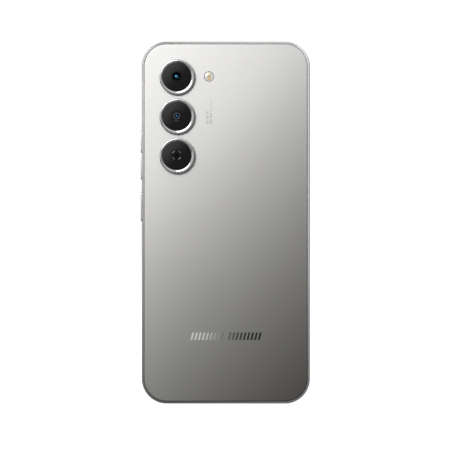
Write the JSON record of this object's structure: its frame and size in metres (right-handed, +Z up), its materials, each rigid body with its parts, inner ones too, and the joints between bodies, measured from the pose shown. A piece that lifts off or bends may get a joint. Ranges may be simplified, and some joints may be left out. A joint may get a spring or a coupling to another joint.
{
  "type": "smartphone",
  "caption": "Slim flat-sided smartphone with a column of round rear cameras, side keys that press, a card tray that slides out and a display across its front.",
  "frame": {"origin": "middle of the width and thickness, on the bottom edge", "axes": "+Z up the phone's length, +Y out of the display, +X across it towards the card tray; the cameras face -Y and the keys are on -X"},
  "size_m": [0.0776, 0.0091, 0.1658],
  "materials": {
    "back_panel": "satin metallic coat, fading from pale silver to graphite on a diagonal",
    "frame_metal": "satin anodised, polished at the rims",
    "ring_metal": "turned and polished",
    "camera_glass": "black printed back, polished",
    "display_glass": "polished",
    "flash_clear": "clear moulded lens",
    "diode": "yellow phosphor",
    "sensor": "hard coat",
    "camera_body": "moulded black",
    "black_plastic": "moulded black",
    "adhesive": "foam tape",
    "tape": "stretch-release tape",
    "plate_metal": "stamped",
    "panel": "liquid-crystal panel",
    "light_guide": "white light guide",
    "circuit": "solder mask",
    "shield_can": "tin plated",
    "flex": "polyimide film",
    "cell_pouch": "printed pouch film",
    "steel": "bare steel",
    "tungsten": "sintered",
    "motor_base": "printed base",
    "seal_rubber": "silicone",
    "driver": "cone and basket",
    "microphone_can": "gold plated"
  },
  "bodies": {
    "phone": {"rear_cover": "back_panel", "side_frame": "frame_metal", "camera_ring_top": "ring_metal", "camera_ring_middle": "ring_metal", "camera_ring_bottom": "ring_metal", "camera_glass_top": "camera_glass", "camera_glass_middle": "camera_glass", "camera_glass_bottom": "camera_glass", "cover_glass": "display_glass", "flash_lens": "flash_clear", "flash_led": "diode", "main_camera": "camera_body", "wide_camera": "camera_body", "close_up_camera": "camera_body", "front_camera": "camera_body", "board_cover": "black_plastic", "speaker_box": "black_plastic", "usb_c_tongue": "black_plastic", "antenna_cable": "black_plastic", "rear_cover_adhesive": "adhesive", "display_adhesive": "adhesive", "battery_adhesive": "tape", "mid_plate": "plate_metal", "display_panel": "panel", "backlight_unit": "light_guide", "main_board": "circuit", "sub_board": "circuit", "processor_shield": "shield_can", "radio_shield": "shield_can", "sim_reader": "shield_can", "main_flex": "flex", "display_flex": "flex", "battery_flex": "flex", "side_key_flex": "flex", "battery": "cell_pouch", "screw_1": "steel", "screw_2": "steel", "screw_3": "steel", "screw_4": "steel", "screw_5": "steel", "usb_c_shell": "steel", "speaker_mesh": "steel", "earpiece_mesh": "steel", "sim_lever_pin": "steel", "vibration_motor_case": "steel", "earpiece_receiver": "steel", "vibration_motor_base": "motor_base", "usb_seal": "seal_rubber", "loudspeaker": "driver", "top_microphone": "microphone_can", "bottom_microphone": "microphone_can"},
    "volume_up_key": {"volume_up_button": "frame_metal"},
    "volume_down_key": {"volume_down_button": "frame_metal"},
    "power_key": {"power_button": "frame_metal", "fingerprint_sensor": "sensor"},
    "card_tray": {"sim_tray": "frame_metal"},
    "eject_plunger": {"sim_eject_plunger": "steel"},
    "eject_lever": {"sim_eject_lever": "steel"},
    "focus_lens": {"main_camera_lens": "camera_body"},
    "motor_rotor": {"vibration_rotor": "tungsten"}
  },
  "joints": [
    {"name": "volume_up_press", "type": "slide", "parent": "phone", "child": "volume_up_key", "axis": [1, 0, 0], "range_m": [0, 0.0003], "stiffness_N_per_m": 2000, "springref_m": -0.0003},
    {"name": "volume_down_press", "type": "slide", "parent": "phone", "child": "volume_down_key", "axis": [1, 0, 0], "range_m": [0, 0.0003], "stiffness_N_per_m": 2000, "springref_m": -0.0003},
    {"name": "power_press", "type": "slide", "parent": "phone", "child": "power_key", "axis": [1, 0, 0], "range_m": [0, 0.0003], "stiffness_N_per_m": 2000, "springref_m": -0.0003},
    {"name": "card_tray_slide", "type": "slide", "parent": "phone", "child": "card_tray", "axis": [1, 0, 0], "range_m": [0, 0.016]},
    {"name": "eject_push", "type": "slide", "parent": "phone", "child": "eject_plunger", "axis": [-1, 0, 0], "range_m": [0, 0.0008]},
    {"name": "eject_lever_turn", "type": "hinge", "parent": "phone", "child": "eject_lever", "pos_m": [0.019, -0.0008, 0.1246], "axis": [0, 1, 0], "range_deg": [0, 16]},
    {"name": "focus_travel", "type": "slide", "parent": "phone", "child": "focus_lens", "axis": [0, -1, 0], "range_m": [0, 0.00025], "stiffness_N_per_m": 150, "springref_m": -0.0001},
    {"name": "motor_spin", "type": "hinge", "parent": "phone", "child": "motor_rotor", "pos_m": [-0.027, -0.0014, 0.0132], "axis": [0, 1, 0], "continuous": true}
  ],
  "couplings": [
    {"joint": "eject_lever_turn", "follows": "eject_push", "rad_per_m": 344.83}
  ]
}
